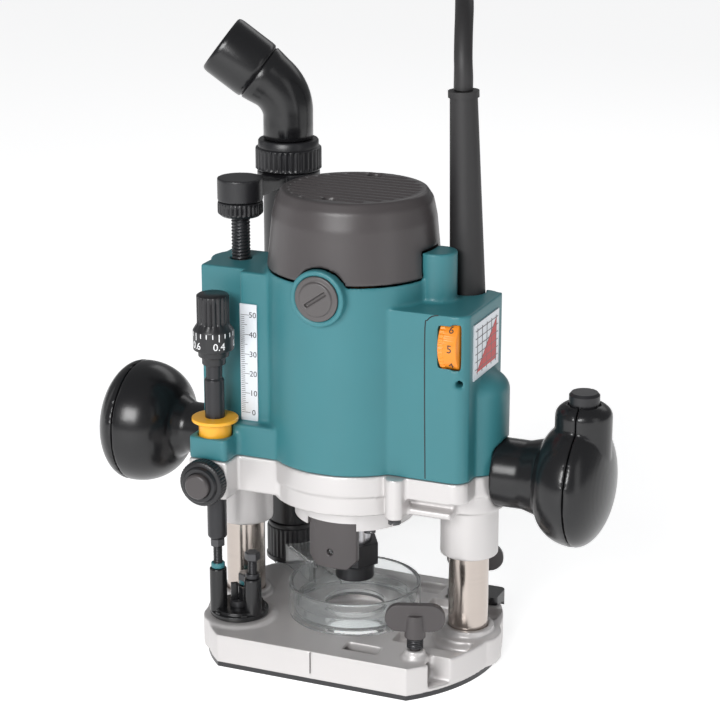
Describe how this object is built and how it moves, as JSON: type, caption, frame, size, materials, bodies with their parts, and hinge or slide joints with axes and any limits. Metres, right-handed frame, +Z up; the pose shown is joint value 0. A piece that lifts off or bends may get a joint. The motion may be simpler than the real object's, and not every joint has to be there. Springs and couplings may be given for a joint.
{
  "type": "plunge router",
  "caption": "Plunge router: motor unit with two knob handles sliding on two columns above a round base, with depth stop turret, dust pipe, chip deflector and coiled supply cord.",
  "frame": {"origin": "on the spindle axis in the plane of the base's sole", "axes": "+X towards the right handle, +Y towards the back, +Z up along the spindle"},
  "size_m": [0.2771, 0.3197, 0.3286],
  "materials": {
    "slip_plate": "satin",
    "cast_aluminium": "shot-blasted cast",
    "column_steel": "ground and polished",
    "spring_steel": "wound wire",
    "black_steel": "black oxide",
    "black_plastic": "fine texture",
    "gloss_black_plastic": "semi-gloss",
    "clear_plastic": "clear moulded",
    "teal_plastic": "fine texture",
    "grey_plastic": "fine texture",
    "yellow_plastic": "moulded",
    "orange_plastic": "moulded",
    "steel": "machined",
    "bronze": "sintered",
    "copper_winding": "lacquered copper and laminated steel",
    "carbon": "pressed carbon",
    "fan_plastic": "moulded",
    "scale_label": "printed foil",
    "cord_rubber": "matt"
  },
  "bodies": {
    "base": {"base_casting": "cast_aluminium", "slip_plate": "slip_plate", "slip_plate_screws": "steel", "left_column": "column_steel", "right_column": "column_steel", "return_springs": "spring_steel", "threaded_rod": "black_steel", "dust_arm": "black_plastic", "dust_pipe": "black_plastic", "chip_deflector": "clear_plastic", "turret_screw": "black_steel", "wing_bolt_springs": "black_steel", "rear_rod_clamp": "black_plastic", "cord_lead": "cord_rubber", "cord_coil": "cord_rubber", "plug": "black_plastic"},
    "limit_nut": {"limit_nut": "black_plastic"},
    "upper_collar": {"upper_collar": "black_plastic"},
    "dust_elbow": {"dust_elbow": "black_plastic"},
    "lower_collar": {"lower_collar": "black_plastic"},
    "turret": {"turret": "black_plastic"},
    "stop_bolt_tall": {"stop_bolt_tall": "black_steel"},
    "stop_bolt_middle": {"stop_bolt_middle": "black_steel"},
    "stop_bolt_short": {"stop_bolt_short": "black_steel"},
    "front_wing_bolt": {"front_wing_bolt": "grey_plastic"},
    "rear_wing_bolt": {"rear_wing_bolt": "grey_plastic"},
    "motor_unit": {"motor_housing": "teal_plastic", "motor_cap": "grey_plastic", "housing_screws": "black_steel", "brush_caps": "black_plastic", "carbon_brushes": "carbon", "motor_bracket": "cast_aluminium", "bearing_retainer": "cast_aluminium", "lower_bearing": "steel", "upper_bearing": "steel", "stator": "copper_winding", "column_bushes": "bronze", "power_switch": "black_plastic", "cord_guard": "cord_rubber", "depth_scale": "scale_label", "speed_chart": "scale_label", "left_handle_inner": "gloss_black_plastic", "left_handle_outer": "gloss_black_plastic", "right_handle_inner": "gloss_black_plastic", "right_handle_outer": "gloss_black_plastic"},
    "rotor": {"spindle": "steel", "armature": "copper_winding", "fan": "fan_plastic", "collet": "steel", "collet_nut": "black_steel"},
    "shaft_lock": {"shaft_lock": "grey_plastic"},
    "stopper_pole": {"stopper_pole": "black_steel"},
    "pole_knob": {"pole_knob": "black_plastic"},
    "depth_pointer": {"depth_pointer": "yellow_plastic"},
    "pole_lock_knob": {"pole_lock_knob": "black_plastic"},
    "fast_feed_button": {"fast_feed_button": "grey_plastic"},
    "speed_dial": {"speed_dial": "orange_plastic"},
    "lock_lever": {"lock_lever": "black_plastic"},
    "trigger": {"trigger": "black_plastic"},
    "lock_button": {"lock_button": "black_plastic"}
  },
  "joints": [
    {"name": "plunge", "type": "slide", "parent": "base", "child": "motor_unit", "axis": [0, 0, 1], "range_m": [-0.0295, 0.02], "deforming": ["return_springs", "cord_lead"]},
    {"name": "spindle_spin", "type": "hinge", "parent": "motor_unit", "child": "rotor", "pos_m": [0, 0, 0.0633], "axis": [0, 0, 1], "continuous": true},
    {"name": "shaft_lock_press", "type": "slide", "parent": "motor_unit", "child": "shaft_lock", "axis": [0, 1, 0], "range_m": [0, 0.0025], "stiffness_N_per_m": 900, "springref_m": -0.001},
    {"name": "pole_slide", "type": "slide", "parent": "motor_unit", "child": "stopper_pole", "axis": [0, 0, 1], "range_m": [-0.02, 0.0295]},
    {"name": "pole_knob_turn", "type": "hinge", "parent": "stopper_pole", "child": "pole_knob", "pos_m": [-0.0596, -0.03535, 0.1688], "axis": [0, 0, 1], "continuous": true},
    {"name": "pointer_slide", "type": "slide", "parent": "motor_unit", "child": "depth_pointer", "axis": [0, 0, 1], "range_m": [0, 0.006]},
    {"name": "pole_lock_turn", "type": "hinge", "parent": "motor_unit", "child": "pole_lock_knob", "pos_m": [-0.0596, -0.04748, 0.0939], "axis": [0, -1, 0], "range_deg": [-180, 180]},
    {"name": "fast_feed_press", "type": "slide", "parent": "pole_lock_knob", "child": "fast_feed_button", "axis": [0, 1, 0], "range_m": [0, 0.002], "stiffness_N_per_m": 600, "springref_m": -0.001},
    {"name": "turret_turn", "type": "hinge", "parent": "base", "child": "turret", "pos_m": [-0.05117, -0.02901, 0.01899], "axis": [0, 0, 1], "continuous": true},
    {"name": "speed_dial_turn", "type": "hinge", "parent": "motor_unit", "child": "speed_dial", "pos_m": [0.06066, -0.02005, 0.17197], "axis": [1, 0, 0], "range_deg": [-180, 45]},
    {"name": "front_wing_turn", "type": "hinge", "parent": "base", "child": "front_wing_bolt", "pos_m": [0.04948, -0.04167, 0.03165], "axis": [0, 0, 1], "continuous": true},
    {"name": "rear_wing_turn", "type": "hinge", "parent": "base", "child": "rear_wing_bolt", "pos_m": [0.04948, 0.04167, 0.03165], "axis": [0, 0, 1], "continuous": true},
    {"name": "limit_nut_turn", "type": "hinge", "parent": "base", "child": "limit_nut", "pos_m": [-0.0613, 0, 0.22049], "axis": [0, 0, 1], "continuous": true},
    {"name": "elbow_turn", "type": "hinge", "parent": "base", "child": "dust_elbow", "pos_m": [-0.0575, 0.04853, 0.25848], "axis": [0, 0, 1], "range_deg": [-150, 150]},
    {"name": "upper_collar_turn", "type": "hinge", "parent": "base", "child": "upper_collar", "pos_m": [-0.0575, 0.04853, 0.24265], "axis": [0, 0, 1], "continuous": true},
    {"name": "lower_collar_turn", "type": "hinge", "parent": "base", "child": "lower_collar", "pos_m": [-0.0575, 0.04853, 0.02954], "axis": [0, 0, 1], "continuous": true},
    {"name": "lock_lever_turn", "type": "hinge", "parent": "motor_unit", "child": "lock_lever", "pos_m": [-0.0613, 0.0211, 0.09284], "axis": [0, 1, 0], "range_deg": [-45, 0]},
    {"name": "trigger_press", "type": "slide", "parent": "motor_unit", "child": "trigger", "axis": [0, -1, 0], "range_m": [0, 0.004], "stiffness_N_per_m": 900, "springref_m": -0.001},
    {"name": "lock_button_press", "type": "slide", "parent": "motor_unit", "child": "lock_button", "axis": [0, 0, -1], "range_m": [0, 0.003], "stiffness_N_per_m": 900, "springref_m": -0.001},
    {"name": "stop_bolt_tall_turn", "type": "hinge", "parent": "turret", "child": "stop_bolt_tall", "pos_m": [-0.0596, -0.03535, 0.03165], "axis": [0, 0, 1], "continuous": true},
    {"name": "stop_bolt_middle_turn", "type": "hinge", "parent": "turret", "child": "stop_bolt_middle", "pos_m": [-0.04146, -0.03315, 0.03165], "axis": [0, 0, 1], "continuous": true},
    {"name": "stop_bolt_short_turn", "type": "hinge", "parent": "turret", "child": "stop_bolt_short", "pos_m": [-0.05244, -0.01854, 0.03165], "axis": [0, 0, 1], "continuous": true}
  ],
  "couplings": [
    {"joint": "pole_slide", "follows": "plunge", "ratio": -1}
  ]
}
